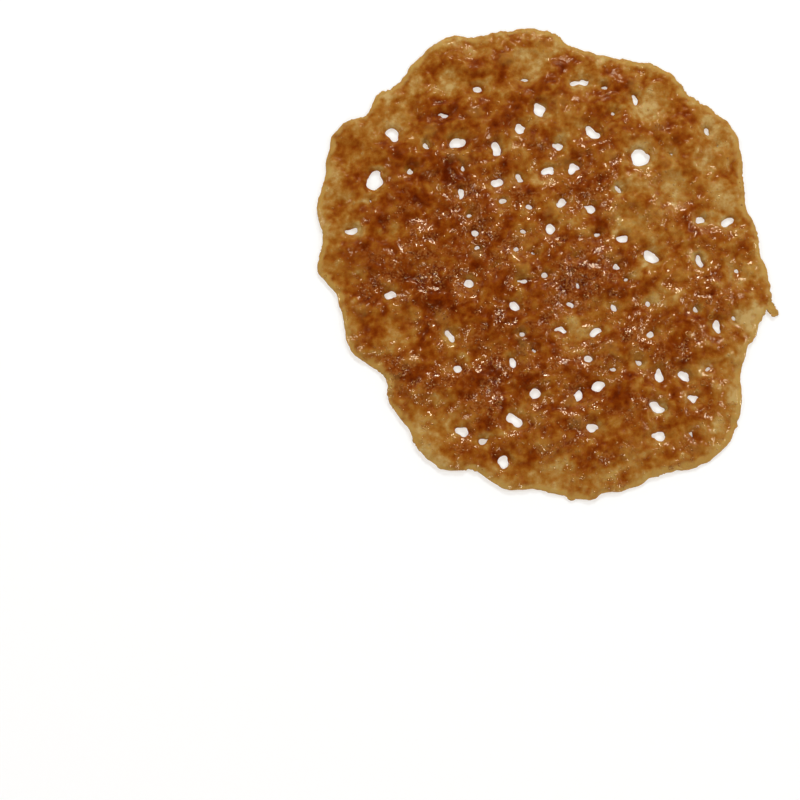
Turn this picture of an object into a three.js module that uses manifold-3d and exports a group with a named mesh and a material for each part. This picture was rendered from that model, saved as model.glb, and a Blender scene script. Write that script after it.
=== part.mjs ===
// Lace cookie: one thin puddle of baked caramel and oats. It is flat underneath, where it lay on the
// tray, lumpy on top, and pierced all over by the bubbles that burst as it baked.
// Millimetres. +Z is up, the cookie lies on z = 0, and the origin is under the middle of its outline.
import * as THREE from "three";
import { ImprovedNoise } from "three/addons/math/ImprovedNoise.js";
import { mergeVertices } from "three/addons/utils/BufferGeometryUtils.js";
import Module from "manifold-3d";

const { degToRad, lerp, seededRandom, smoothstep } = THREE.MathUtils;

// The rim's lobes and dents: [direction in degrees from +X, distance from the middle].
const RIM = [
  [0, 36.0], [8, 35.7], [14, 34.9], [22, 36.1], [28, 37.9], [34, 39.3], [40, 39.0], [48, 37.8],
  [53, 38.8], [60, 39.1], [72, 37.4], [82, 37.6], [87, 39.8], [94, 40.7], [106, 40.6], [112, 42.1],
  [121, 41.1], [130, 39.2], [134, 40.1], [140, 38.9], [144, 40.6], [150, 41.4], [159, 39.3],
  [167, 39.2], [175, 37.1], [183, 38.0], [190, 35.4], [195, 35.1], [206, 36.1], [217, 33.6],
  [225, 36.1], [230, 36.5], [238, 38.8], [244, 39.5], [250, 37.7], [260, 39.4], [267, 39.0],
  [278, 41.0], [284, 40.4], [290, 41.0], [294, 40.3], [305, 42.7], [313, 42.8], [321, 40.6],
  [328, 37.2], [342, 37.0], [352, 37.6],
];
const RIM_STEP = 1.25; // between neighbouring points of the outline
const CRUMB_REACH = 0.3; // how far single crumbs stand in or out of the rim
const CRUMB_SPAN = 1.9; // from one such crumb to the next

// A thread of caramel that set as it ran off the right-hand side: points along its middle line.
const THREAD = [[34.6, -7.0], [36.6, -8.3], [38.1, -9.7]];
const THREAD_STEPS = 6;
const THREAD_WIDTH = 1.2; // at its root
const THREAD_TIP_WIDTH = 0.8;
const THREAD_THICKNESS = 0.9;

// Thickness, from the rim inwards.
const RIM_THICKNESS = 0.9;
const MIDDLE_THICKNESS = 1.8;
const RIM_SLOPE = 7; // the cookie thickens over this distance
const LUMP_HEIGHT = 0.75; // of the lumps where oats gathered, above or below the mean
const LUMP_SPAN = 6.5; // from one lump to the next, with finer lumps at half of it
const FINE_LUMP_SHARE = 0.5; // height of the finer lumps over that of the others
const RIM_LUMP_SHARE = 0.3; // height of the lumps at the rim over that in the middle
const FILM_THICKNESS = 0.7; // of the caramel round a hole and in a bubble that didn't burst
const FILM_LIP = 0.5; // the film starts to swell this far inside the bubble's edge
const FILM_SLOPE = 2.2; // and reaches the thickness around it this far outside
const RELIEF_STEP = 1.9; // between neighbouring points of the top surface

// The largest holes, which have places of their own: [x, y, length, width, turn in degrees].
const LARGE_HOLES = [
  [16.5, 17.5, 3.9, 3.0, 24], [-28.5, 13.5, 3.5, 2.7, 70], [-5.5, -27.5, 3.4, 2.1, 147],
  [-25.5, 21.5, 2.7, 2.4, 126], [-14.5, 20.0, 2.8, 2.2, 8], [8.5, 22.0, 3.4, 1.8, 148],
  [17.5, 0.0, 3.5, 1.8, 149], [5.0, 15.5, 2.3, 2.1, 73], [-0.5, 26.0, 3.0, 1.9, 117],
  [-8.0, 19.0, 2.8, 1.6, 106], [-7.5, -34.5, 2.2, 1.9, 16], [3.0, 9.5, 2.7, 1.6, 7],
  [-32.5, 4.5, 2.9, 1.6, 173], [7.5, 8.5, 2.4, 1.7, 133], [5.0, -23.5, 2.2, 1.9, 176],
  [31.0, 6.0, 2.8, 1.5, 18], [-8.0, 13.0, 2.0, 2.0, 0], [-17.0, 25.0, 2.2, 1.9, 0],
  [-14.0, -29.5, 2.5, 1.6, 143], [2.5, 19.5, 2.0, 1.7, 157], [-16.0, -13.5, 2.6, 1.5, 138],
  [18.0, -25.5, 2.9, 1.4, 149], [-14.0, 11.0, 1.7, 2.3, 0], [24.0, -24.0, 2.2, 1.6, 5],
  [6.5, 31.0, 3.9, 1.3, 8],
];
const LARGE_HOLE_SIDES = 11;

// The small holes, thrown over the cookie by a seeded draw and thickest right of the middle.
const SMALL_HOLES = 66;
const SMALL_HOLE_SIDES = 7;
const SMALL_HOLE_LENGTH = [1.3, 2.8];
const SMALL_HOLE_BIAS = 1.6; // above 1, more of them come out short than long
const SMALL_HOLE_SLIMNESS = [0.5, 0.85]; // width over length
const SMALL_HOLE_TURN = [100, 205]; // degrees: most of them lie one way
const SMALL_HOLES_MIDDLE = [6, -1];
const SMALL_HOLES_SPREAD = 29;
const HOLE_GAP = 1.3; // the least strip of cookie between two holes
const HOLE_RIM_GAP = 2.6; // and between a hole and the rim
const HOLE_FLARE = 0.13; // how much a hole opens each way for each millimetre of height
const HOLE_CORNER = 0.3; // how far a hole's corners leave its ellipse, as a share of its size

// Bubbles that didn't burst left thin windows. The widest have places of their own, as [x, y, radius].
const WIDE_WINDOWS = [
  [-2.0, 34.0, 2.4], [-16.5, 30.5, 2.0], [-23.0, 25.5, 2.2], [18.5, 26.5, 3.0], [22.0, 11.5, 2.8],
  [14.0, 6.0, 1.8], [0.5, 14.0, 1.6], [33.0, -2.5, 2.2], [4.0, -14.0, 2.4], [9.0, -10.0, 2.2],
  [29.5, -29.0, 2.8], [24.0, -34.0, 2.4], [-18.0, -27.0, 3.2], [-24.0, -12.0, 2.5],
  [1.5, -37.5, 2.4], [-33.5, 17.5, 1.8],
];
const SMALL_WINDOWS = 18;
const SMALL_WINDOW_RADIUS = [0.8, 1.7];
const WINDOW_GAP = 2.4;

const SEED = 41;
const MOST_THROWS = 20000;
const CUT_DEPTH = 6; // tall enough to pass through the thickest lump
const PLUG_RISE = 2; // of a cutting plug's middle above the tray

const middleOf = (hole) => new THREE.Vector2(hole.x, hole.y);
const meanRadius = (hole) => (hole.length + hole.width) / 4;
const between = ([low, high], share) => lerp(low, high, share);

// Points of the outline, evenly spaced and ragged with crumbs, counter-clockwise from above.
function rimPoints() {
  const lobes = RIM.map(([degrees, reach]) => {
    const angle = degToRad(degrees);
    return new THREE.Vector3(reach * Math.cos(angle), reach * Math.sin(angle), 0);
  });
  const curve = new THREE.CatmullRomCurve3(lobes, true, "centripetal");
  const spaced = curve.getSpacedPoints(Math.round(curve.getLength() / RIM_STEP)).slice(0, -1);
  const noise = new ImprovedNoise();
  return spaced.map((point) => {
    const crumb = noise.noise(point.x / CRUMB_SPAN, point.y / CRUMB_SPAN, SEED + 0.5);
    const reach = point.length() + CRUMB_REACH * crumb;
    return new THREE.Vector2(point.x, point.y).setLength(reach);
  });
}

// A repeatable stream of draws from 0 to 1.
function draws(seed) {
  seededRandom(seed);
  return () => seededRandom();
}

function distanceToRim(point, rim) {
  return Math.min(...rim.map((rimPoint) => rimPoint.distanceTo(point)));
}

// True where a round thing of this radius lies on the cookie, clear of the rim and of the others.
function hasRoom(place, radius, rim, rimGap, others, gap) {
  if (!insideRim(place, rim)) return false;
  if (distanceToRim(place, rim) < radius + rimGap) return false;
  return others.every((other) => {
    return middleOf(other).distanceTo(place) > radius + meanRadius(other) + gap;
  });
}

// Counts how often a ray to the right crosses the outline.
function insideRim(place, rim) {
  const crossings = rim.filter((a, index) => {
    const b = rim[(index + 1) % rim.length];
    if (a.y > place.y === b.y > place.y) return false;
    return place.x < a.x + ((b.x - a.x) * (place.y - a.y)) / (b.y - a.y);
  });
  return crossings.length % 2 === 1;
}

// A place drawn from the outline's box.
function anyPlace(rim, random) {
  const { min, max } = new THREE.Box2().setFromPoints(rim);
  return new THREE.Vector2(lerp(min.x, max.x, random()), lerp(min.y, max.y, random()));
}

function largeHoles() {
  return LARGE_HOLES.map(([x, y, length, width, turn]) => {
    return { x, y, length, width, turn: degToRad(turn), sides: LARGE_HOLE_SIDES };
  });
}

// Throws small holes at the cookie and keeps those with room, more of them near their own middle.
function smallHoles(rim, large, random) {
  const holes = [];
  const middle = new THREE.Vector2(...SMALL_HOLES_MIDDLE);
  for (let throws = 0; throws < MOST_THROWS && holes.length < SMALL_HOLES; throws++) {
    const place = anyPlace(rim, random);
    const length = between(SMALL_HOLE_LENGTH, random() ** SMALL_HOLE_BIAS);
    const width = length * between(SMALL_HOLE_SLIMNESS, random());
    const turn = degToRad(between(SMALL_HOLE_TURN, random()));
    const wanted = Math.exp(-((place.distanceTo(middle) / SMALL_HOLES_SPREAD) ** 2));
    if (random() > wanted) continue;
    if (!hasRoom(place, length / 2, rim, HOLE_RIM_GAP, [...large, ...holes], HOLE_GAP)) continue;
    holes.push({ x: place.x, y: place.y, length, width, turn, sides: SMALL_HOLE_SIDES });
  }
  return holes;
}

// The wide windows, and small ones thrown anywhere on the cookie, right up to the rim.
function windows(rim, holes, random) {
  const round = (x, y, radius) => ({ x, y, length: 2 * radius, width: 2 * radius });
  const wide = WIDE_WINDOWS.map(([x, y, radius]) => round(x, y, radius));
  const small = [];
  for (let throws = 0; throws < MOST_THROWS && small.length < SMALL_WINDOWS; throws++) {
    const place = anyPlace(rim, random);
    const radius = between(SMALL_WINDOW_RADIUS, random());
    if (!hasRoom(place, radius, rim, 0, [...holes, ...wide, ...small], WINDOW_GAP)) continue;
    small.push(round(place.x, place.y, radius));
  }
  return [...wide, ...small];
}

// Height of the top surface: thin at the rim, lumpy further in, and sunk to a film at each bubble.
function topHeight(point, rim, bubbles, noise) {
  const [u, v] = [point.x / LUMP_SPAN, point.y / LUMP_SPAN];
  const lumps = noise.noise(u, v, SEED) + FINE_LUMP_SHARE * noise.noise(2 * u, 2 * v, SEED);
  const swell = smoothstep(distanceToRim(point, rim), 0, RIM_SLOPE);
  const plain = lerp(RIM_THICKNESS, MIDDLE_THICKNESS, swell);
  const lumpy = plain + LUMP_HEIGHT * lumps * lerp(RIM_LUMP_SHARE, 1, swell);
  return bubbles.reduce((thickness, bubble) => {
    const fromEdge = middleOf(bubble).distanceTo(point) - meanRadius(bubble);
    return lerp(FILM_THICKNESS, thickness, smoothstep(fromEdge, -FILM_LIP, FILM_SLOPE));
  }, Math.max(lumpy, FILM_THICKNESS));
}

// A square slab, larger than the cookie and deeper, whose top is the cookie's top surface.
function slab(rim, bubbles) {
  const size = new THREE.Box2().setFromPoints(rim).getSize(new THREE.Vector2());
  const across = Math.ceil(size.x / RELIEF_STEP) + 1;
  const along = Math.ceil(size.y / RELIEF_STEP) + 1;
  const geometry = new THREE.BoxGeometry(
    across * RELIEF_STEP, along * RELIEF_STEP, 1, across, along, 1,
  );
  const noise = new ImprovedNoise();
  const position = geometry.getAttribute("position");
  for (let index = 0; index < position.count; index++) {
    const point = new THREE.Vector2(position.getX(index), position.getY(index));
    const isTop = position.getZ(index) > 0;
    position.setZ(index, isTop ? topHeight(point, rim, bubbles, noise) : -CUT_DEPTH);
  }
  return geometry;
}

// The outline as a tall prism standing on the tray, to trim the slab with.
function rimPrism(rim) {
  return new THREE.ExtrudeGeometry(new THREE.Shape(rim), { depth: CUT_DEPTH, bevelEnabled: false });
}

// One hole as a plug to cut with: an uneven ellipse that flares towards the top.
function plug(hole, random) {
  const geometry = new THREE.CylinderGeometry(1, 1, CUT_DEPTH, hole.sides, 1);
  geometry.rotateX(Math.PI / 2).translate(0, 0, PLUG_RISE);
  const corners = Array.from({ length: hole.sides }, () => 1 + HOLE_CORNER * (random() - 0.5));
  const position = geometry.getAttribute("position");
  for (let index = 0; index < position.count; index++) {
    const [x, y, z] = [position.getX(index), position.getY(index), position.getZ(index)];
    const turn = Math.atan2(x, -y) / (2 * Math.PI);
    const corner = corners[Math.round((turn + 1) * hole.sides) % hole.sides];
    const flare = HOLE_FLARE * z;
    position.setX(index, x * corner * (hole.length / 2 + flare));
    position.setY(index, y * corner * (hole.width / 2 + flare));
  }
  return geometry.rotateZ(hole.turn).translate(hole.x, hole.y, 0);
}

// The thread at the rim: a thin tapering strip along its curve.
function thread() {
  const curve = new THREE.SplineCurve(THREAD.map(([x, y]) => new THREE.Vector2(x, y)));
  const [right, left] = [-1, 1].map((side) => {
    return Array.from({ length: THREAD_STEPS + 1 }, (_, step) => {
      const along = step / THREAD_STEPS;
      const across = curve.getTangent(along).rotateAround(new THREE.Vector2(), Math.PI / 2);
      const half = lerp(THREAD_WIDTH, THREAD_TIP_WIDTH, along) / 2;
      return curve.getPoint(along).addScaledVector(across, side * half);
    });
  });
  return new THREE.ExtrudeGeometry(new THREE.Shape([...right, ...left.reverse()]), {
    depth: THREAD_THICKNESS,
    bevelEnabled: false,
  });
}

const wasm = await Module();
wasm.setup();

// A closed geometry as a solid that can be cut and joined.
function solidOf(geometry) {
  const bare = geometry.clone();
  bare.deleteAttribute("normal");
  bare.deleteAttribute("uv");
  const merged = mergeVertices(bare);
  return new wasm.Manifold(
    new wasm.Mesh({
      numProp: 3,
      vertProperties: new Float32Array(merged.getAttribute("position").array),
      triVerts: new Uint32Array(merged.index.array),
    }),
  );
}

function geometryOf(solid) {
  const { vertProperties, triVerts } = solid.getMesh();
  const geometry = new THREE.BufferGeometry();
  geometry.setAttribute("position", new THREE.BufferAttribute(vertProperties, 3));
  geometry.setIndex(new THREE.BufferAttribute(triVerts, 1));
  geometry.computeVertexNormals();
  return geometry;
}

// Moves the middle of the outline's box over the origin and leaves the underside on z = 0.
function centred(geometry) {
  geometry.computeBoundingBox();
  const middle = geometry.boundingBox.getCenter(new THREE.Vector3());
  return geometry.translate(-middle.x, -middle.y, 0);
}

function laceCookie() {
  const rim = rimPoints();
  const random = draws(SEED);
  const large = largeHoles();
  const holes = [...large, ...smallHoles(rim, large, random)];
  const bubbles = [...holes, ...windows(rim, holes, random)];
  const trimmed = solidOf(slab(rim, bubbles)).intersect(solidOf(rimPrism(rim)));
  const pierced = holes.reduce((body, hole) => {
    return body.subtract(solidOf(plug(hole, random)));
  }, trimmed);
  return centred(geometryOf(pierced.add(solidOf(thread()))));
}

const caramel = new THREE.MeshStandardMaterial({ color: 0x8b5220, roughness: 0.45, metalness: 0 });
const cookie = new THREE.Mesh(laceCookie(), caramel);
cookie.name = "lace_cookie";

const part = new THREE.Group();
part.add(cookie);

export default part;
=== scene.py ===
"""Lace cookie: a thin round of browned caramel and oats, dressed over its solid.

The solid gives the outline, the holes, the lumps and the thin windows. This file gives the surface
the crags, froth, oat lumps and gloss of baked sugar, strews grains and bubble rings over it, and
lights it softly on a pale board.
"""

import logging
import math
from dataclasses import dataclass, field
from enum import Enum
from typing import Any

import bmesh
import bpy
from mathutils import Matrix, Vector

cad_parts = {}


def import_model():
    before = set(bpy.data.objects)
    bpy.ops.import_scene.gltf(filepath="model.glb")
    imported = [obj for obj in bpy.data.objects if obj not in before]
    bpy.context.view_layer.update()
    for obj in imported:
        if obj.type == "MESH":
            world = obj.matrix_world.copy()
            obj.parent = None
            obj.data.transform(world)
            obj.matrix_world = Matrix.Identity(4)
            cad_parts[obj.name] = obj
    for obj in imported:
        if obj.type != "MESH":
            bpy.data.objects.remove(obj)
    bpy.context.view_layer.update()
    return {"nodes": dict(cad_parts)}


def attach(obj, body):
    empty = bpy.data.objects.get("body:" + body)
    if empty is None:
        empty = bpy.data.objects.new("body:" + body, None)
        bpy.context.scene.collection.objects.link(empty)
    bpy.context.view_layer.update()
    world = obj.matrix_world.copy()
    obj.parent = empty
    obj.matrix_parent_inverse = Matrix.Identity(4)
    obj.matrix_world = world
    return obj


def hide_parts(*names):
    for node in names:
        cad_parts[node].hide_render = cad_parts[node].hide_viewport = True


MM = 0.001
NODE = "lace_cookie"
BODY = "root"
LIGHT_LEVEL = (1.3, 1.21, 1.07)
LOG = logging.getLogger("lace_cookie")

Pair = tuple[float, float]
Triple = tuple[float, float, float]
Tone = tuple[float, float, float, float]


class Layer(str, Enum):
    """Values that the cookie's surface carries for its finishes and for what is strewn on it."""

    BROWNING = "browning"
    FROTH = "froth"
    EDGE = "edge"
    RIM = "rim"
    OAT = "oat"


def seen(red: int, green: int, blue: int) -> Tone:
    """Gives the pigment that looks like a picture's colour under this studio's light.

    Args:
        red: Red of 0 to 255, as a picture stores it.
        green: Green, likewise.
        blue: Blue, likewise.

    Returns:
        The colour for a shader's socket, opaque.
    """

    def pigment(level: int, lit: float) -> float:
        """Undoes the picture's own curve and the light's strength for one channel."""
        share = level / 255
        light = share / 12.92 if share <= 0.04045 else ((share + 0.055) / 1.055) ** 2.4
        return light / lit

    return *map(pigment, (red, green, blue), LIGHT_LEVEL), 1.0


class NodeBench:
    """Lays nodes on a tree and wires them up, for shapes and finishes alike."""

    def __init__(self, tree: bpy.types.NodeTree) -> None:
        """Takes the tree to work on."""
        self.tree = tree

    def put(self, kind: str, wires: dict[Any, Any] | None = None, **settings: Any) -> bpy.types.Node:
        """Adds one node.

        Args:
            kind: The node's type.
            wires: Input socket, by name or place, to a value or to the output that feeds it.
            **settings: The node's own options.

        Returns:
            The new node.
        """
        node = self.tree.nodes.new(kind)
        for name, value in settings.items():
            setattr(node, name, value)
        for place, value in (wires or {}).items():
            self.wire(value, node.inputs[place])
        return node

    def wire(self, value: Any, socket: bpy.types.NodeSocket) -> None:
        """Feeds a socket from another socket, or sets its own value.

        Args:
            value: An output socket, or a plain value.
            socket: The input that takes it.
        """
        if isinstance(value, bpy.types.NodeSocket):
            self.tree.links.new(value, socket)
        else:
            socket.default_value = value

    def calc(self, operation: str, first: Any, second: Any = 0.0) -> Any:
        """Does one sum.

        Args:
            operation: The sum's name, such as MULTIPLY.
            first: A socket or a number.
            second: A socket or a number.

        Returns:
            The socket with the result.
        """
        return self.put("ShaderNodeMath", {0: first, 1: second}, operation=operation).outputs[0]

    def product(self, *values: Any) -> Any:
        """Multiplies sockets and numbers together.

        Args:
            *values: Two or more of them.

        Returns:
            The socket with the result.
        """
        result = values[0]
        for value in values[1:]:
            result = self.calc("MULTIPLY", result, value)
        return result

    def total(self, *values: Any) -> Any:
        """Adds sockets and numbers together.

        Args:
            *values: Two or more of them.

        Returns:
            The socket with the result.
        """
        result = values[0]
        for value in values[1:]:
            result = self.calc("ADD", result, value)
        return result

    def rise(self, value: Any, low: float, high: float, start: float = 0.0, end: float = 1.0) -> Any:
        """Eases from one level to another as a value passes between two bounds.

        Args:
            value: The socket that is read.
            low: Where the rise begins.
            high: Where it is complete.
            start: Level before it.
            end: Level after it.

        Returns:
            The socket with the eased level.
        """
        wires = {"Value": value, "From Min": low, "From Max": high, "To Min": start, "To Max": end}
        node = self.put("ShaderNodeMapRange", wires, interpolation_type="SMOOTHSTEP")
        return node.outputs["Result"]

    def noise(
        self, place: Any, span: float, detail: float = 2.0, rough: float = 0.5, swirl: float = 0.0
    ) -> Any:
        """Makes soft random mottling about zero, from roughly -0.5 to 0.5.

        Args:
            place: The socket with the position.
            span: Metres from one patch to the next.
            detail: How many finer layers it has.
            rough: How strong those layers are.
            swirl: How far the patches are drawn out into strings.

        Returns:
            The socket with the mottling.
        """
        wires = {
            "Vector": place,
            "Scale": 1 / span,
            "Detail": detail,
            "Roughness": rough,
            "Distortion": swirl,
        }
        return self.calc("SUBTRACT", self.put("ShaderNodeTexNoise", wires).outputs[0], 0.5)

    def cells(self, place: Any, span: float) -> bpy.types.Node:
        """Divides the plane into random cells.

        Args:
            place: The socket with the position.
            span: Metres from one cell to the next.

        Returns:
            The node, whose outputs are Distance, Color and Position.
        """
        wires = {"Vector": place, "Scale": 1 / span}
        return self.put("ShaderNodeTexVoronoi", wires, voronoi_dimensions="2D")

    def vector(self, operation: str, first: Any, second: Any) -> Any:
        """Does one sum with vectors.

        Args:
            operation: The sum's name, such as ADD.
            first: A vector or its socket.
            second: A vector or its socket; for SCALE, a number or its socket.

        Returns:
            The socket with the result.
        """
        place = "Scale" if operation == "SCALE" else 1
        node = self.put("ShaderNodeVectorMath", {0: first, place: second}, operation=operation)
        return node.outputs["Value" if operation == "DISTANCE" else 0]

    def height_of(self, vector: Any) -> Any:
        """Gives the upright part of a vector."""
        return self.put("ShaderNodeSeparateXYZ", {0: vector}).outputs["Z"]

    def blur(self, value: Any, rounds: int) -> Any:
        """Spreads a value over the surface to the points about it.

        Args:
            value: The socket that is spread.
            rounds: How many points far.

        Returns:
            The socket with the spread value.
        """
        wires = {"Value": value, "Iterations": rounds}
        return self.put("GeometryNodeBlurAttribute", wires, data_type="FLOAT").outputs[0]

    def carried(self, layer: Layer) -> Any:
        """Reads a value that the surface carries, in a shape's tree or in a finish.

        Args:
            layer: Which value.

        Returns:
            The socket with it.
        """
        if self.tree.bl_idname == "GeometryNodeTree":
            node = self.put("GeometryNodeInputNamedAttribute", {"Name": layer.value}, data_type="FLOAT")
            return node.outputs["Attribute"]
        return self.put("ShaderNodeAttribute", attribute_name=layer.value).outputs["Fac"]

    def mix(self, share: Any, first: Any, second: Any) -> Any:
        """Blends two colours.

        Args:
            share: How much of the second, as a socket or a number.
            first: A colour or its socket.
            second: A colour or its socket.

        Returns:
            The socket with the blend.
        """
        node = self.put("ShaderNodeMix", {0: share, 6: first, 7: second}, data_type="RGBA")
        return node.outputs[2]


class ShapeTree:
    """A Geometry Nodes tree with named sizes, and the modifier that runs it."""

    def __init__(self, name: str) -> None:
        """Starts an empty tree of that name with geometry in and out."""
        self.tree = bpy.data.node_groups.new(name, "GeometryNodeTree")
        self.tree.is_modifier = True
        self.tree.interface.new_socket("Geometry", in_out="INPUT", socket_type="NodeSocketGeometry")
        self.tree.interface.new_socket("Geometry", in_out="OUTPUT", socket_type="NodeSocketGeometry")
        self.bench = NodeBench(self.tree)
        self.source = self.bench.put("NodeGroupInput")
        self.sizes: dict[str, Any] = {}

    def size(self, name: str, value: float) -> bpy.types.NodeSocket:
        """Adds a named input.

        Args:
            name: What it measures.
            value: Its setting.

        Returns:
            The socket that carries it in the tree.
        """
        socket = self.tree.interface.new_socket(name, in_out="INPUT", socket_type="NodeSocketFloat")
        self.sizes[socket.identifier] = value
        return next(s for s in self.source.outputs if s.identifier == socket.identifier)

    def count(self, name: str, value: int) -> bpy.types.NodeSocket:
        """Adds a named whole-number input, such as a seed.

        Args:
            name: What it counts.
            value: Its setting.

        Returns:
            The socket that carries it in the tree.
        """
        socket = self.tree.interface.new_socket(name, in_out="INPUT", socket_type="NodeSocketInt")
        self.sizes[socket.identifier] = value
        return next(s for s in self.source.outputs if s.identifier == socket.identifier)

    def close(self, geometry: bpy.types.NodeSocket, material: bpy.types.Material) -> None:
        """Realizes what was made, gives it its material and sends it out.

        Args:
            geometry: The socket with the finished geometry.
            material: Its finish.
        """
        plain = self.bench.put("GeometryNodeRealizeInstances", {"Geometry": geometry})
        wires = {"Geometry": plain.outputs[0], "Material": material}
        dressed = self.bench.put("GeometryNodeSetMaterial", wires)
        self.bench.put("NodeGroupOutput", {0: dressed.outputs[0]})

    def attach(self, piece: bpy.types.Object) -> None:
        """Puts the tree on a piece as its last modifier, with its sizes set.

        Args:
            piece: The object that it shapes.
        """
        modifier = piece.modifiers.new(self.tree.name, "NODES")
        modifier.node_group = self.tree
        for identifier, value in self.sizes.items():
            modifier[identifier] = value


def make_plain(piece: bpy.types.Object) -> None:
    """Turns what a piece's modifiers make into its own plain mesh, and removes them.

    Args:
        piece: The object to settle.
    """
    graph = bpy.context.evaluated_depsgraph_get()
    made = bpy.data.meshes.new_from_object(
        piece.evaluated_get(graph), preserve_all_data_layers=True, depsgraph=graph
    )
    rough = piece.data
    piece.modifiers.clear()
    piece.data = made
    made.name = piece.name
    bpy.data.meshes.remove(rough)


def new_piece(name: str, data: bpy.types.ID) -> bpy.types.Object:
    """Puts a mesh, a light or a camera in the scene as an object at the origin.

    Args:
        name: The object's name.
        data: What it holds.

    Returns:
        The object.
    """
    piece = bpy.data.objects.new(name, data)
    bpy.context.scene.collection.objects.link(piece)
    return piece


def hand_over(piece: bpy.types.Object, *replaced: str) -> None:
    """Ties a finished piece to the cookie's body and reports it.

    Args:
        piece: The piece.
        *replaced: Solids that it stands for.
    """
    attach(piece, BODY)
    if replaced:
        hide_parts(*replaced)
    triangles = sum(len(face.vertices) - 2 for face in piece.data.polygons)
    LOG.info("%s: %d triangles", piece.name, triangles)


@dataclass(frozen=True)
class BakedTone:
    """How sugar browns: the tones from a thin film to a thick lump, shared by every finish."""

    film: Tone = seen(194, 164, 106)
    straw: Tone = seen(175, 133, 71)
    gold: Tone = seen(162, 107, 39)
    amber: Tone = seen(148, 84, 21)
    brown: Tone = seen(131, 60, 8)
    russet: Tone = seen(113, 43, 3)
    dark: Tone = seen(92, 28, 1)
    mottle_span: float = 0.8 * MM
    mottle: float = 0.7

    def group(self) -> bpy.types.NodeTree:
        """Builds the shader group, or finds it where it was built before.

        Returns:
            The group: Browning and Place in, Color out.
        """
        name = "Baked sugar tone"
        if name in bpy.data.node_groups:
            return bpy.data.node_groups[name]
        tree = bpy.data.node_groups.new(name, "ShaderNodeTree")
        tree.interface.new_socket("Browning", in_out="INPUT", socket_type="NodeSocketFloat")
        tree.interface.new_socket("Place", in_out="INPUT", socket_type="NodeSocketVector")
        tree.interface.new_socket("Color", in_out="OUTPUT", socket_type="NodeSocketColor")
        bench = NodeBench(tree)
        given = bench.put("NodeGroupInput")
        mottling = bench.noise(given.outputs["Place"], self.mottle_span, detail=4.0, rough=0.62)
        shade = bench.total(given.outputs["Browning"], bench.product(mottling, self.mottle))
        ramp = bench.put("ShaderNodeValToRGB", {"Fac": shade})
        tones = (self.film, self.straw, self.gold, self.amber, self.brown, self.russet, self.dark)
        while len(ramp.color_ramp.elements) < len(tones):
            ramp.color_ramp.elements.new(1.0)
        for number, (stop, tone) in enumerate(zip(ramp.color_ramp.elements, tones)):
            stop.position = number / (len(tones) - 1)
            stop.color = tone
        bench.put("NodeGroupOutput", {"Color": ramp.outputs["Color"]})
        return tree


class Finish:
    """What every finish of the cookie starts from: a cleared material with the baked tone in it."""

    name: str
    tone: BakedTone

    def start(self) -> tuple[bpy.types.Material, NodeBench, Any, Any, Any]:
        """Clears a new material and lays the baked tone in it.

        Returns:
            The material, its bench, and the sockets with place, browning and tone.
        """
        material = bpy.data.materials.new(self.name)
        material.use_nodes = True
        material.node_tree.nodes.clear()
        bench = NodeBench(material.node_tree)
        place = bench.put("ShaderNodeTexCoord").outputs["Object"]
        browning = bench.carried(Layer.BROWNING)
        wires = {"Browning": browning, "Place": place}
        tone = bench.put("ShaderNodeGroup", wires, node_tree=self.tone.group())
        return material, bench, place, browning, tone.outputs["Color"]

    @staticmethod
    def close(bench: NodeBench, wires: dict[str, Any]) -> None:
        """Feeds the shader and ends the material.

        Args:
            bench: The material's bench.
            wires: What each of the shader's sockets takes.
        """
        shader = bench.put("ShaderNodeBsdfPrincipled", wires)
        bench.put("ShaderNodeOutputMaterial", {"Surface": shader.outputs[0]})


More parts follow.
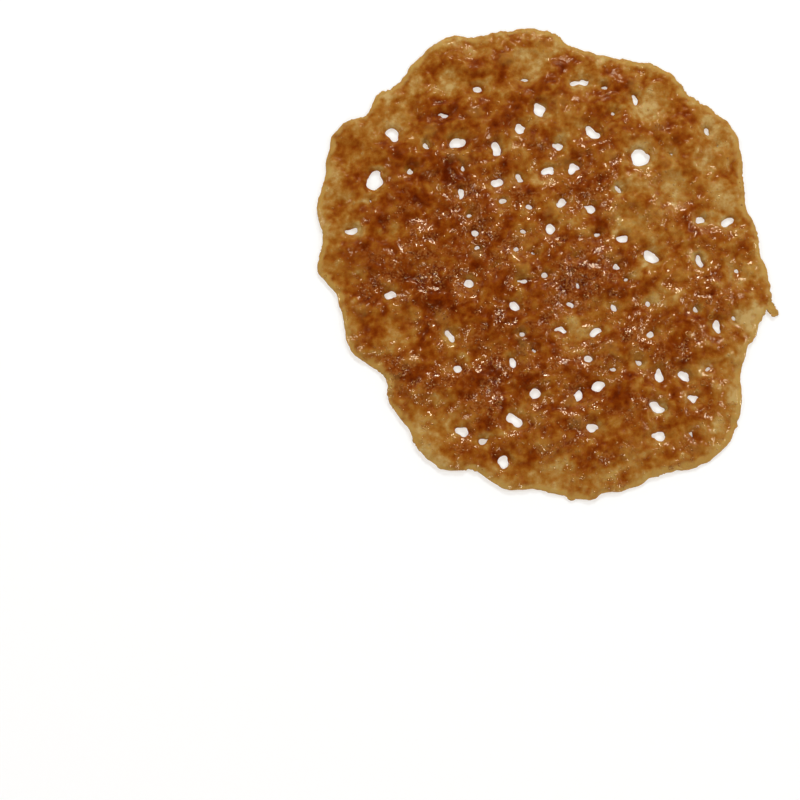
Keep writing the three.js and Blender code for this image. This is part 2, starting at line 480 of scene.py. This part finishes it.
@dataclass(frozen=True)
class CaramelFinish(Finish):
    """The cookie's own surface: glossy caramel, grainy where it frothed and smooth where it is thin."""

    name: str = "caramel"
    tone: BakedTone = BakedTone()
    froth_tone: Tone = seen(172, 108, 50)
    pale_froth: Tone = seen(196, 158, 80)
    foam_and_sheen_share: float = 0.62
    rim_tone_and_backlight: Tone = seen(188, 152, 82)
    rim_tone_and_backlight_share: float = 0.8
    oat_tone: Tone = seen(186, 144, 68)
    oat_share: float = 0.28
    foam_browning: Pair = (0.1, 0.45)
    grain_span: float = 0.4 * MM
    grain_tops: Pair = (-0.1, 0.14)
    grain_least: float = 0.2
    grain_height: float = 0.09 * MM
    smooth_roughness: float = 0.28
    froth_roughness: float = 0.14
    shine: float = 0.045
    shine_tint: Tone = (1.0, 0.78, 0.55, 1.0)
    froth_coat: float = 0.7
    coat_tilt: Pair = (0.78, 0.92)
    coat_roughness: float = 0.09
    glow: float = 0.2
    glow_reach: Triple = (1.0, 0.42, 0.12)
    glow_depth: float = 0.8 * MM

    def build(self) -> bpy.types.Material:
        """Makes the material.

        Returns:
            The material, which reads the surface's browning, froth, oats and rim.
        """
        material, bench, place, browning, tone = self.start()
        froth = bench.carried(Layer.FROTH)
        oat = bench.carried(Layer.OAT)
        rim = bench.carried(Layer.RIM)
        grain = bench.noise(place, self.grain_span, detail=1.0)
        # Painted highlight: the raised spots of the grain bump take the pale foam tone, which leaves the
        # gaps between them darker. This is partly the froth's own colour and partly painted sheen on the
        # tops.
        foam_and_sheen_tops = bench.rise(grain, *self.grain_tops)
        foam = bench.mix(bench.rise(browning, *self.foam_browning), self.pale_froth, self.froth_tone)
        colour = bench.mix(bench.product(foam_and_sheen_tops, froth, self.foam_and_sheen_share), tone, foam)
        colour = bench.mix(bench.product(oat, self.oat_share), colour, self.oat_tone)
        # Pale rim band: the thin edge's own paler sugar, together with painted light shining through the
        # thin edge.
        colour = bench.mix(bench.product(rim, self.rim_tone_and_backlight_share), colour, self.rim_tone_and_backlight)
        height = bench.product(grain, bench.rise(froth, 0.0, 1.0, self.grain_least, 1.0), self.grain_height)
        bump = bench.put("ShaderNodeBump", {"Height": height, "Strength": 1.0, "Distance": 1.0})
        slope = bench.height_of(bench.put("ShaderNodeNewGeometry").outputs["Normal"])
        coat = bench.product(froth, bench.rise(slope, *self.coat_tilt), self.froth_coat)
        self.close(
            bench,
            {
                "Base Color": colour,
                "Roughness": bench.rise(froth, 0.0, 1.0, self.smooth_roughness, self.froth_roughness),
                "Normal": bump.outputs[0],
                "Specular IOR Level": self.shine,
                "Specular Tint": self.shine_tint,
                "Coat Weight": coat,
                "Coat Roughness": self.coat_roughness,
                "Coat Normal": bump.outputs[0],
                "Subsurface Weight": self.glow,
                "Subsurface Radius": self.glow_reach,
                "Subsurface Scale": self.glow_depth,
            },
        )
        return material


@dataclass(frozen=True)
class GlazeFinish(Finish):
    """Grains and bubbles of clear set sugar, a little paler than the caramel that they stand in."""

    name: str = "sugar_glaze"
    tone: BakedTone = BakedTone()
    pale: Tone = seen(190, 136, 66)
    paleness: float = 0.6
    bloom_span: float = 0.7 * MM
    bloom_rise: Pair = (-0.15, 0.2)
    dull_span: float = 0.3 * MM
    dull_rise: Pair = (-0.2, 0.2)
    roughness: Pair = (0.072, 0.168)
    shine: float = 1.0
    shine_tint: Tone = (1.0, 0.78, 0.55, 1.0)

    def build(self) -> bpy.types.Material:
        """Makes the material.

        Returns:
            The material, which reads the browning of the spot that a grain stands on.
        """
        material, bench, place, _, tone = self.start()
        bloom = bench.rise(bench.noise(place, self.bloom_span), *self.bloom_rise, 0.0, self.paleness)
        roughness = bench.rise(bench.noise(place, self.dull_span), *self.dull_rise, *self.roughness)
        self.close(
            bench,
            {
                "Base Color": bench.mix(bloom, tone, self.pale),
                "Roughness": roughness,
                "Specular IOR Level": self.shine,
                "Specular Tint": self.shine_tint,
            },
        )
        return material


@dataclass(frozen=True)
class Browning:
    """Where the cookie browned: by its thickness, about its middle, in pools and by chance; thin film also
    kept pale as painted light through it.
    """

    base: float = 0.262
    thin: float = 0.75 * MM
    thick: float = 1.7 * MM
    swell: float = 0.3
    middle: Triple = (-9 * MM, -6 * MM, 0.0)
    middle_reach: Pair = (8 * MM, 38 * MM)
    middle_share: float = 0.12
    lip_share: float = 0.08
    blotch_span: float = 4.0 * MM
    blotch_share: float = 1.05
    fleck_span: float = 1.4 * MM
    fleck_share: float = 0.5
    pool_reach: Pair = (0.2, 1.5)
    dark_share: float = 0.36
    dark_pools: tuple[Triple, ...] = (
        (15, 34, 3.5), (4, 35, 2.5), (-18, 26, 3.5), (-30, 15, 2.5), (-15, 14, 3.5),
        (-21, 8, 3.5), (-11, 3, 2.5), (-21, -3, 3.0), (-30, -6, 2.5), (4, -6, 3.0),
        (16, -10, 2.5), (-19, -11, 2.5), (-4, -15, 2.5), (-9, -20, 3.5), (6, -23, 2.5),
        (-26, -21, 3.5), (19, -22, 2.5), (-10, -34, 2.5), (24, -32, 2.5), (-7, -10, 2.5),
        (12, -38, 2.5),
    )
    pale_share: float = -0.38
    pale_pools: tuple[Triple, ...] = (
        (-7, 28, 2.5), (3, 23, 3.5), (15, 20, 2.5), (26, 18, 2.5), (15, 12, 3.5),
        (29, 11, 2.5), (33, -10, 3.0), (20, -7, 3.0), (16, -2, 2.5), (5, 5, 2.5),
        (-30, 4, 2.5), (-20, -36, 3.5),
    )

    def lay(self, bench: NodeBench, place: Any, thickness: Any, lip: Any) -> Any:
        """Works out how brown each spot is.

        Args:
            bench: Where the nodes go.
            place: The socket with the position.
            thickness: The socket with the height of the top.
            lip: The socket with how near a hole or the rim is.

        Returns:
            The socket with the browning, from 0 for a pale film to 1 for the darkest lump.
        """
        # Thicker sugar browns more. The thin film's paleness also stands for painted light shining through
        # it from the pale board beneath.
        swell = bench.rise(thickness, self.thin, self.thick, 0.0, self.swell)
        spread = bench.vector("DISTANCE", place, self.middle)
        broad = bench.rise(spread, *self.middle_reach, self.middle_share, 0.0)
        pooled = bench.total(
            self._pools(bench, place, self.dark_pools, self.dark_share),
            self._pools(bench, place, self.pale_pools, self.pale_share),
        )
        blotch = bench.noise(place, self.blotch_span, detail=3.0, swirl=0.5)
        blotches = bench.product(blotch, self.blotch_share)
        flecks = bench.product(bench.noise(place, self.fleck_span, swirl=0.4), self.fleck_share)
        thinned = bench.product(lip, self.lip_share)
        browning = bench.total(swell, broad, pooled, blotches, flecks, thinned, self.base)
        return bench.calc("MINIMUM", bench.calc("MAXIMUM", browning, 0.0), 1.0)

    def _pools(self, bench: NodeBench, place: Any, pools: tuple[Triple, ...], share: float) -> Any:
        """Adds up round patches that browned more, or less, than what is about them.

        Args:
            bench: Where the nodes go.
            place: The socket with the position.
            pools: The patches: place along X and Y, and reach, in millimetres.
            share: How much they add at their middles.

        Returns:
            The socket with the sum.
        """
        pooled: Any = 0.0
        core, fade = self.pool_reach
        for x, y, reach in pools:
            gap = bench.vector("DISTANCE", place, (x * MM, y * MM, 0.0))
            pool = bench.rise(gap, core * reach * MM, fade * reach * MM, share, 0.0)
            pooled = bench.total(pooled, pool)
        return pooled


@dataclass
class CookieBody:
    """The cookie itself: its solid, made fine and then roughened as baked sugar is."""

    name: str = "cookie_body"
    weld: float = 0.001 * MM
    mesh_size: float = 0.275 * MM
    ease_rounds: int = 3
    ease_strength: float = 0.5
    soften_rounds: int = 14
    under_slope: float = -0.9
    flat_below: float = 0.03 * MM
    top_slope: Pair = (0.3, 0.85)
    top_height: Pair = (0.08 * MM, 0.4 * MM)
    wall_slope: Pair = (0.4, 0.85)
    wall_rounds: int = 2
    wall_rise: Pair = (0.1, 0.45)
    lip_rounds: int = 6
    lip_rise: Pair = (0.02, 0.45)
    lip_thinning: float = 0.15
    browning: Browning = Browning()
    crag_height: float = 1.0 * MM
    crag_span: float = 2.0 * MM
    crag_browning: Pair = (0.0, 0.6)
    crag_least: float = 0.3
    crag_tone_and_painted_shade: float = 0.8
    froth_patch: float = 3.0 * MM
    froth_strings: Pair = (-0.06, 0.06)
    froth_browning: Pair = (-0.1, 0.2)
    froth_middle: Triple = (1 * MM, -12 * MM, 0.0)
    froth_reach: Pair = (25 * MM, 42 * MM)
    froth_least: float = 0.1
    froth_height: float = 0.18 * MM
    bubble_tone_and_painted_shade: float = 0.27
    bubble_span: float = 1.6 * MM
    bubble_wander: float = 1.2 * MM
    bubble_width: float = 0.65
    bubble_least: float = 0.7
    bubble_browning: Pair = (0.15, 0.45)
    bubble_rounds: int = 1
    oat_span: float = 7.0 * MM
    oat_reach: float = 1.3 * MM
    oat_wander: float = 0.45
    oat_fade: Pair = (0.4, 1.3)
    oat_draw: Pair = (0.45, 0.5)
    oat_height: float = 0.22 * MM
    rim_start: float = 0.85 * MM
    rim_width: float = 1.45 * MM
    rim_wander: float = 2.0 * MM
    rim_lump: float = 0.35
    rim_grain: float = 0.5
    rim_crumb: float = 0.9
    notch_spread: float = 5.0 * MM
    notch_rise: Pair = (-0.05, 0.12)
    notch_least: float = 0.25
    thread_middle: Triple = (36.8 * MM, -8.6 * MM, 0.6 * MM)
    thread_reach: Pair = (2.0 * MM, 3.0 * MM)
    thread_grain: float = 0.6
    thread_crumb: float = 1.5
    thread_swell: float = 0.2
    crumb_height: float = 1.5 * MM
    crumb_span: float = 1.8 * MM
    crumb_swell: float = 0.1
    hole_swell: float = 0.03
    piece: bpy.types.Object | None = field(default=None, init=False)

    def build(self, solid: bpy.types.Object, material: bpy.types.Material) -> bpy.types.Object:
        """Makes the piece from the solid.

        Args:
            solid: The cookie's plain solid, which isn't changed.
            material: Its finish.

        Returns:
            The finished piece.
        """
        self.piece = new_piece(self.name, self._welded(solid))
        rim = new_piece("rim_line", self._rim_line(self.piece.data))
        fine = self.piece.modifiers.new("Fine mesh", "REMESH")
        fine.mode = "VOXEL"
        fine.voxel_size = self.mesh_size
        ease = self.piece.modifiers.new("Eased edges", "SMOOTH")
        ease.iterations = self.ease_rounds
        ease.factor = self.ease_strength
        self._relief(material, rim).attach(self.piece)
        make_plain(self.piece)
        bpy.data.meshes.remove(rim.data)
        self._flatten_underside()
        return self.piece

    def _welded(self, solid: bpy.types.Object) -> bpy.types.Mesh:
        """Copies the solid's mesh and joins its loose triangles.

        Args:
            solid: The cookie's plain solid.

        Returns:
            A closed copy.
        """
        shape = bmesh.new()
        shape.from_mesh(solid.data)
        bmesh.ops.remove_doubles(shape, verts=shape.verts, dist=self.weld)
        mesh = bpy.data.meshes.new(self.name)
        shape.to_mesh(mesh)
        shape.free()
        return mesh

    def _rim_line(self, mesh: bpy.types.Mesh) -> bpy.types.Mesh:
        """Finds the line where the cookie's outer wall meets its underside.

        Args:
            mesh: The closed copy of the solid.

        Returns:
            A mesh of that line alone, the longest of the lines about the underside.
        """
        shape = bmesh.new()
        shape.from_mesh(mesh)
        shape.normal_update()
        rest = [face for face in shape.faces if face.normal.z >= self.under_slope]
        bmesh.ops.delete(shape, geom=rest, context="FACES")
        open_edges = {edge for edge in shape.edges if edge.is_boundary}
        lines: list[list[bmesh.types.BMEdge]] = []
        while open_edges:
            line = [open_edges.pop()]
            for edge in line:
                for vertex in edge.verts:
                    joined = [other for other in vertex.link_edges if other in open_edges]
                    open_edges.difference_update(joined)
                    line.extend(joined)
            lines.append(line)
        longest = max(lines, key=lambda line: sum(edge.calc_length() for edge in line))
        places = {vertex: tuple(vertex.co) for edge in longest for vertex in edge.verts}
        order = {vertex: number for number, vertex in enumerate(places)}
        ends = [tuple(order[vertex] for vertex in edge.verts) for edge in longest]
        result = bpy.data.meshes.new("rim_line")
        result.from_pydata(list(places.values()), ends, [])
        LOG.info("underside: %d lines about it and its holes", len(lines))
        shape.free()
        return result

    def _relief(self, material: bpy.types.Material, rim: bpy.types.Object) -> ShapeTree:
        """Builds the tree that roughens the surface and marks how brown and frothy it is.

        Args:
            material: The finish to set.
            rim: The line about the underside's rim.

        Returns:
            The tree.
        """
        shape = ShapeTree("Cookie relief")
        bench = shape.bench
        crag_height = shape.size("Crag height", self.crag_height)
        froth_height = shape.size("Froth height", self.froth_height)
        crumb_height = shape.size("Crumb height", self.crumb_height)
        oat_height = shape.size("Oat height", self.oat_height)
        lip_thinning = shape.size("Lip thinning", self.lip_thinning)
        place = bench.put("GeometryNodeInputPosition").outputs[0]
        normal = bench.put("GeometryNodeInputNormal").outputs[0]
        height = bench.height_of(place)
        slope = bench.height_of(normal)
        upward = bench.rise(slope, *self.top_slope)
        above = bench.rise(height, *self.top_height)
        steep = bench.rise(bench.calc("ABSOLUTE", slope), *self.wall_slope, 1.0, 0.0)
        wall = bench.rise(bench.blur(steep, self.wall_rounds), *self.wall_rise)
        lip = bench.rise(bench.blur(steep, self.lip_rounds), *self.lip_rise)

        line = bench.put("GeometryNodeObjectInfo", {"Object": rim}).outputs["Geometry"]
        nearest = bench.put("GeometryNodeProximity", {0: line}, target_element="EDGES")
        to_rim = nearest.outputs["Distance"]
        near_rim = bench.rise(to_rim, self.rim_start, self.rim_width, 1.0, 0.0)
        wander = bench.product(bench.noise(place, self.crumb_span, detail=3.0), self.rim_wander)
        ragged = bench.total(to_rim, wander)
        rim_band = bench.rise(ragged, self.rim_start, self.rim_width, 1.0, 0.0)
        to_thread = bench.vector("DISTANCE", place, self.thread_middle)
        on_thread = bench.rise(to_thread, *self.thread_reach, 1.0, 0.0)

        softened = bench.blur(height, self.soften_rounds)
        browning = self.browning.lay(bench, place, softened, lip)
        froth = self._froth(bench, place, browning)
        crag = bench.noise(place, self.crag_span, detail=1.5)
        browned = bench.rise(browning, *self.crag_browning, self.crag_least, 1.0)
        crags = bench.product(crag, browned, crag_height)
        # Painted shade: the crags' hollows brown darker and their crowns paler. This is partly thicker
        # sugar lying in the hollows and partly a stand-in for relief shading that the all-round lamps leave
        # weak.
        browning = bench.total(browning, bench.product(crag, -self.crag_tone_and_painted_shade))
        bubbles = self._bubbles(bench, place, froth, browning)
        frothing = bench.product(bubbles, froth_height)
        # Painted shade: the sugar between the bubbles is browned darker and their middles paler. This is
        # partly the thin film over each bubble and partly painted shade in the gaps.
        browning = bench.total(browning, bench.product(bubbles, -self.bubble_tone_and_painted_shade))
        oat = self._oats(bench, place)
        lumps = bench.product(oat, oat_height)
        top = bench.product(bench.total(crags, frothing, lumps), upward, above)

        eased = bench.product(bench.calc("SUBTRACT", softened, height), upward)
        sag = bench.product(height, lip, lip_thinning, -1.0)
        rise = bench.put("ShaderNodeCombineXYZ", {"Z": bench.total(eased, sag)}).outputs[0]
        crumbs = self._crumbs(bench, place, near_rim, on_thread)
        swell = bench.product(crumbs, bench.calc("MAXIMUM", wall, on_thread), crumb_height)
        outward = bench.vector("MULTIPLY", normal, (1.0, 1.0, 0.0))
        move = bench.vector("ADD", bench.vector("SCALE", normal, top), rise)
        move = bench.vector("ADD", move, bench.vector("SCALE", outward, swell))

        stored = shape.source.outputs["Geometry"]
        layers = {
            Layer.BROWNING: browning,
            Layer.FROTH: froth,
            Layer.EDGE: lip,
            Layer.RIM: rim_band,
            Layer.OAT: oat,
        }
        for layer, value in layers.items():
            wires = {"Geometry": stored, "Name": layer.value, "Value": value}
            stored = bench.put("GeometryNodeStoreNamedAttribute", wires, data_type="FLOAT").outputs[0]
        moved = bench.put("GeometryNodeSetPosition", {"Geometry": stored, "Offset": move})
        settled = bench.put("GeometryNodeSetShadeSmooth", {0: moved.outputs[0]})
        shape.close(settled.outputs[0], material)
        return shape

    def _froth(self, bench: NodeBench, place: Any, browning: Any) -> Any:
        """Marks where the sugar frothed: in strings, off the palest film, and less toward the rim.

        Args:
            bench: Where the nodes go.
            place: The socket with the position.
            browning: The socket with the browning.

        Returns:
            The socket with the froth, from 0 to 1.
        """
        strings = bench.noise(place, self.froth_patch, detail=3.0, rough=0.6, swirl=0.8)
        spread = bench.vector("DISTANCE", place, self.froth_middle)
        return bench.product(
            bench.rise(strings, *self.froth_strings),
            bench.rise(browning, *self.froth_browning),
            bench.rise(spread, *self.froth_reach, 1.0, self.froth_least),
        )

    def _bubbles(self, bench: NodeBench, place: Any, froth: Any, browning: Any) -> Any:
        """Works out the bubbles that stand in the browned sugar, highest where it frothed.

        Args:
            bench: Where the nodes go.
            place: The socket with the position.
            froth: The socket with the froth.
            browning: The socket with the browning.

        Returns:
            The socket with the bubbles, from -0.5 between them to 0.5 at their middles.
        """
        sway = bench.product(bench.noise(place, self.bubble_span, detail=1.0), self.bubble_wander)
        shift = bench.put("ShaderNodeCombineXYZ", {"X": sway, "Y": sway}).outputs[0]
        spots = bench.cells(bench.vector("ADD", place, shift), self.bubble_span)
        bubbled = bench.product(
            bench.rise(spots.outputs["Distance"], 0.0, self.bubble_width, 0.5, -0.5),
            bench.rise(froth, 0.0, 1.0, self.bubble_least, 1.0),
            bench.rise(browning, *self.bubble_browning),
        )
        return bench.blur(bubbled, self.bubble_rounds)

    def _oats(self, bench: NodeBench, place: Any) -> Any:
        """Marks the lumps where rolled oats lie under the sugar.

        Args:
            bench: Where the nodes go.
            place: The socket with the position.

        Returns:
            The socket with 1 on an oat and 0 off it.
        """
        spots = bench.cells(place, self.oat_span)
        wander = bench.product(bench.noise(place, self.oat_reach, detail=3.0), self.oat_wander)
        gap = bench.total(spots.outputs["Distance"], wander)
        core, fade = (share * (self.oat_reach / self.oat_span) for share in self.oat_fade)
        lump = bench.rise(gap, core, fade, 1.0, 0.0)
        drawn = bench.rise(bench.height_of(spots.outputs["Color"]), *self.oat_draw)
        return bench.product(lump, drawn)

    def _crumbs(self, bench: NodeBench, place: Any, near_rim: Any, on_thread: Any) -> Any:
        """Works out how far the walls bulge and crumble, at the rim, on the thread and in the holes.

        Args:
            bench: Where the nodes go.
            place: The socket with the position.
            near_rim: The socket with 1 at the rim and 0 away from it.
            on_thread: The socket with 1 on the thread and 0 off it.

        Returns:
            The socket with the bulge, as a share of the crumbs' height.
        """
        lumps = bench.noise(place, self.crumb_span, detail=0.0)
        grains = bench.noise(place, self.rim_grain * self.crumb_span, rough=0.6)
        notched = bench.rise(bench.noise(place, self.notch_spread), *self.notch_rise, self.notch_least, 1.0)
        threaded = bench.noise(place, self.thread_grain * self.crumb_span, rough=0.6)
        return bench.total(
            bench.product(lumps, bench.rise(near_rim, 0.0, 1.0, 1.0, self.rim_lump)),
            bench.product(grains, near_rim, notched, self.rim_crumb),
            bench.product(threaded, on_thread, self.thread_crumb),
            bench.product(on_thread, self.thread_swell),
            bench.rise(near_rim, 0.0, 1.0, self.hole_swell, 0.0),
            self.crumb_swell,
        )

    def _flatten_underside(self) -> None:
        """Sets the underside flat on the tray, in large faces from hole to hole."""
        shape = bmesh.new()
        shape.from_mesh(self.piece.data)
        for vertex in shape.verts:
            if vertex.co.z < self.flat_below:
                vertex.co.z = 0.0
        flat = [face for face in shape.faces if all(vertex.co.z == 0.0 for vertex in face.verts)]
        bmesh.ops.delete(shape, geom=flat, context="FACES")
        loose = [edge for edge in shape.edges if edge.is_wire]
        bmesh.ops.delete(shape, geom=loose, context="EDGES")
        lone = [vertex for vertex in shape.verts if not vertex.link_faces]
        bmesh.ops.delete(shape, geom=lone, context="VERTS")
        open_edges = [edge for edge in shape.edges if edge.is_boundary]
        filled = bmesh.ops.triangle_fill(shape, edges=open_edges, use_beauty=True, normal=(0, 0, -1))
        for face in filled["geom"]:
            if isinstance(face, bmesh.types.BMFace):
                face.smooth = False
        still_open = sum(edge.is_boundary for edge in shape.edges)
        LOG.info("underside: %d faces removed, %d edges still open", len(flat), still_open)
        shape.to_mesh(self.piece.data)
        shape.free()


@dataclass
class Strewn:
    """Small things strewn over the top of the cookie by a seeded draw, as one joined mesh."""

    name: str
    per_square_mm: float
    width: Pair
    flatness: float
    sink: float
    seed: int
    layer: Layer
    slope: Pair = (0.55, 0.8)
    lip_gap: float = 0.3
    stretch: Pair = (0.7, 1.3)
    stretch_seed: int = 5

    def unit(self, bench: NodeBench) -> bpy.types.NodeSocket:
        """Makes one of the things, a unit wide.

        Args:
            bench: Where its nodes go.

        Returns:
            The socket with its mesh.
        """
        ball = bench.put("GeometryNodeMeshIcoSphere", {"Radius": 0.5, "Subdivisions": 1})
        return ball.outputs["Mesh"]

    def build(self, ground: bpy.types.Object, material: bpy.types.Material) -> bpy.types.Object:
        """Strews the things over the cookie.

        Args:
            ground: The cookie's body.
            material: The things' finish.

        Returns:
            The finished piece.
        """
        piece = new_piece(self.name, ground.data.copy())
        shape = ShapeTree(self.name.replace("_", " ").capitalize())
        bench = shape.bench
        density = shape.size("Per square metre", self.per_square_mm / MM**2)
        least = shape.size("Least width", self.width[0])
        most = shape.size("Most width", self.width[1])
        seed = shape.count("Seed", self.seed)
        normal = bench.put("GeometryNodeInputNormal").outputs[0]
        upward = bench.rise(bench.height_of(normal), *self.slope)
        inner = bench.rise(bench.carried(Layer.EDGE), 0.0, self.lip_gap, 1.0, 0.0)
        wanted = bench.product(bench.carried(self.layer), upward, inner, density)
        wires = {"Mesh": shape.source.outputs["Geometry"], "Density": wanted, "Seed": seed}
        points = bench.put("GeometryNodeDistributePointsOnFaces", wires)
        wires = {2: least, 3: most, 8: seed}
        width = bench.put("FunctionNodeRandomValue", wires, data_type="FLOAT").outputs[1]
        drop = bench.vector("SCALE", points.outputs["Normal"], bench.product(width, -self.sink))
        wires = {"Geometry": points.outputs["Points"], "Offset": drop}
        sunk = bench.put("GeometryNodeSetPosition", wires)
        narrow, broad = self.stretch
        wires = {0: (narrow,) * 3, 1: (broad,) * 3, 8: self.stretch_seed}
        stretch = bench.put("FunctionNodeRandomValue", wires, data_type="FLOAT_VECTOR").outputs[0]
        wires = {"X": width, "Y": width, "Z": bench.product(width, self.flatness)}
        even = bench.put("ShaderNodeCombineXYZ", wires).outputs[0]
        wires = {
            "Points": sunk.outputs[0],
            "Instance": self.unit(bench),
            "Rotation": points.outputs["Rotation"],
            "Scale": bench.vector("MULTIPLY", even, stretch),
        }
        strewn = bench.put("GeometryNodeInstanceOnPoints", wires)
        joined = bench.put("GeometryNodeRealizeInstances", {"Geometry": strewn.outputs[0]})
        smooth = bench.put("GeometryNodeSetShadeSmooth", {0: joined.outputs[0]})
        shape.close(smooth.outputs[0], material)
        shape.attach(piece)
        make_plain(piece)
        return piece


@dataclass
class BubbleRings(Strewn):
    """Rims that burst bubbles left standing."""

    wire: float = 0.09
    around: int = 9
    section: int = 4

    def unit(self, bench: NodeBench) -> bpy.types.NodeSocket:
        """Makes one rim, a unit wide.

        Args:
            bench: Where its nodes go.

        Returns:
            The socket with its mesh.
        """
        circle = "GeometryNodeCurvePrimitiveCircle"
        loop = bench.put(circle, {"Resolution": self.around, "Radius": 0.5 - self.wire})
        section = bench.put(circle, {"Resolution": self.section, "Radius": self.wire})
        wires = {"Curve": loop.outputs["Curve"], "Profile Curve": section.outputs["Curve"]}
        swept = bench.put("GeometryNodeCurveToMesh", wires)
        return swept.outputs["Mesh"]


@dataclass(frozen=True)
class Viewpoint:
    """The photograph's own view: from nearly straight above, with the cookie up and to the right."""

    aim: Triple = (-24.33 * MM, -24.17 * MM, 0.0)
    elevation: float = 80.0
    distance: float = 219.05 * MM
    lens: float = 60.0
    sensor: float = 36.0
    clip: Pair = (10 * MM, 10.0)

    def build(self) -> bpy.types.Object:
        """Makes the camera and looks through it.

        Returns:
            The camera.
        """
        data = bpy.data.cameras.new("camera")
        data.lens = self.lens
        data.sensor_width = self.sensor
        data.clip_start, data.clip_end = self.clip
        camera = new_piece("camera", data)
        tilt = math.radians(self.elevation)
        back = Vector((0.0, -math.cos(tilt), math.sin(tilt)))
        camera.location = Vector(self.aim) + back * self.distance
        camera.rotation_euler = (math.radians(90.0 - self.elevation), 0.0, 0.0)
        bpy.context.scene.camera = camera
        return camera


@dataclass(frozen=True)
class Lamp:
    """One soft round light, aimed at the cookie."""

    name: str
    bearing: float
    elevation: float
    power: float
    width: float = 0.12
    distance: float = 0.6
    tone: Triple = (1.0, 0.86, 0.65)

    def build(self) -> bpy.types.Object:
        """Hangs the lamp.

        Returns:
            The light's object.
        """
        light = bpy.data.lights.new(self.name, "AREA")
        light.shape = "DISK"
        light.size = self.width
        light.energy = self.power
        light.color = self.tone
        around, up = math.radians(self.bearing), math.radians(self.elevation)
        way = Vector((math.cos(up) * math.cos(around), math.cos(up) * math.sin(around), math.sin(up)))
        holder = new_piece(self.name, light)
        holder.location = way * self.distance
        holder.rotation_euler = (-way).to_track_quat("-Z", "Y").to_euler()
        return holder


@dataclass(frozen=True)
class Studio:
    """The pale board that the cookie lies on and the soft light over it."""

    board_reach: float = 0.75
    sweep: float = 0.3
    wall: float = 0.2
    sweep_steps: int = 9
    board_sides: int = 72
    board_drop: float = 0.03 * MM
    board_weld: float = 0.01 * MM
    board_roughness: float = 0.9
    board_tone: Tone = (0.32, 0.43, 0.60, 1.0)
    glow_tone: Tone = (1.0, 0.88, 0.78, 1.0)
    board_glow: float = 0.62
    sky: float = 0.04
    lamps: tuple[Lamp, ...] = (
        Lamp("key", bearing=80, elevation=42, power=2.3),
        Lamp("right", bearing=10, elevation=42, power=1.25),
        Lamp("left", bearing=165, elevation=42, power=1.25),
        Lamp("front", bearing=-90, elevation=42, power=1.15),
    )

    def build(self) -> None:
        """Lays the board and sets up the lights."""
        self._board()
        world = bpy.data.worlds.new("soft_room")
        world.use_nodes = True
        background = world.node_tree.nodes["Background"]
        background.inputs["Color"].default_value = (1.0, 1.0, 1.0, 1.0)
        background.inputs["Strength"].default_value = self.sky
        bpy.context.scene.world = world
        for lamp in self.lamps:
            lamp.build()
        bpy.context.scene.view_settings.view_transform = "Standard"

    def _board(self) -> None:
        """Makes the board, swept up to a low wall all round, which isn't part of the cookie."""
        profile = [(0.0, 0.0)]
        for step in range(self.sweep_steps + 1):
            turn = math.radians(90 * step / self.sweep_steps)
            out, up = math.sin(turn), 1 - math.cos(turn)
            profile.append((self.board_reach + self.sweep * out, self.sweep * up))
        profile.append((self.board_reach + self.sweep, self.sweep + self.wall))
        shape = bmesh.new()
        path = [shape.verts.new((out, 0.0, up - self.board_drop)) for out, up in profile]
        edges = [shape.edges.new(pair) for pair in zip(path, path[1:])]
        bmesh.ops.spin(
            shape,
            geom=path + edges,
            cent=(0, 0, 0),
            axis=(0, 0, 1),
            angle=2 * math.pi,
            steps=self.board_sides,
            use_merge=True,
        )
        bmesh.ops.remove_doubles(shape, verts=shape.verts, dist=self.board_weld)
        bmesh.ops.recalc_face_normals(shape, faces=shape.faces)
        for face in shape.faces:
            face.smooth = True
        mesh = bpy.data.meshes.new("board")
        shape.to_mesh(mesh)
        shape.free()
        material = bpy.data.materials.new("pale_board")
        material.use_nodes = True
        shader = material.node_tree.nodes["Principled BSDF"]
        shader.inputs["Base Color"].default_value = self.board_tone
        shader.inputs["Roughness"].default_value = self.board_roughness
        shader.inputs["Specular IOR Level"].default_value = 0.0
        shader.inputs["Emission Color"].default_value = self.glow_tone
        shader.inputs["Emission Strength"].default_value = self.board_glow
        mesh.materials.append(material)
        new_piece("board", mesh)


def main() -> None:
    """Builds the cookie, what is strewn over it, and the studio."""
    logging.basicConfig(level=logging.INFO, format="%(name)s: %(message)s")
    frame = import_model()
    Viewpoint().build()
    Studio().build()

    body = CookieBody().build(frame["nodes"][NODE], CaramelFinish().build())
    hand_over(body, NODE)
    glaze = GlazeFinish().build()
    grains = Strewn(
        name="froth_grains",
        per_square_mm=1.7,
        width=(0.18 * MM, 0.46 * MM),
        flatness=0.38,
        sink=0.03,
        seed=3,
        layer=Layer.FROTH,
    )
    rings = BubbleRings(
        name="bubble_rings",
        per_square_mm=0.04,
        width=(0.5 * MM, 1.0 * MM),
        flatness=0.8,
        sink=0.0,
        seed=7,
        layer=Layer.FROTH,
    )
    for things in (grains, rings):
        hand_over(things.build(body, glaze))


if __name__ == "__main__":
    main()
